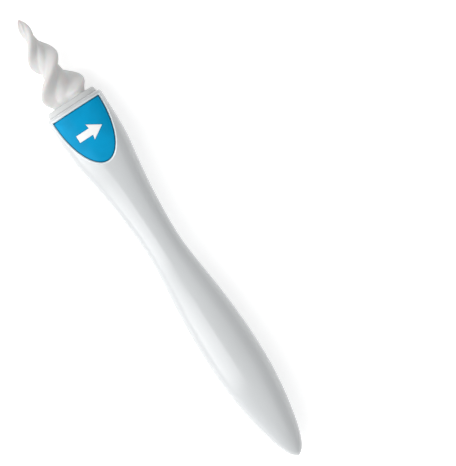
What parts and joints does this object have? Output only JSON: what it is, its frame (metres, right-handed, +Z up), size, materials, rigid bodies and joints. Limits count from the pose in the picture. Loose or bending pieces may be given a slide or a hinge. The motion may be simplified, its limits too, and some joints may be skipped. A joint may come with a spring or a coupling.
{
  "type": "ear wax cleaner",
  "caption": "Hand-held ear wax cleaner: a waisted hollow plastic handle with a blue arrow badge and a plug-in soft spiral tip.",
  "frame": {"origin": "under the middle of the tool, on the surface it lies on", "axes": "+Y along the tool towards the spiral tip, +X across it to the arrow's point, +Z up out of the badge"},
  "size_m": [0.0212, 0.175, 0.016],
  "materials": {
    "handle_plastic": "smooth white gloss",
    "blue_plastic": "smooth blue gloss",
    "white_inlay": "smooth white",
    "socket_plastic": "as moulded",
    "carrier_plastic": "satin, as moulded",
    "soft_tip": "soft matte white"
  },
  "bodies": {
    "handle": {"front_shell": "handle_plastic", "back_shell": "handle_plastic", "badge": "blue_plastic", "direction_arrow": "white_inlay", "tip_socket": "socket_plastic"},
    "tip": {"tip_carrier": "carrier_plastic", "spiral_tip": "soft_tip"}
  },
  "joints": [
    {"name": "tip_pull", "type": "slide", "parent": "handle", "child": "tip", "axis": [0, 1, 0], "range_m": [0, 0.03]}
  ]
}
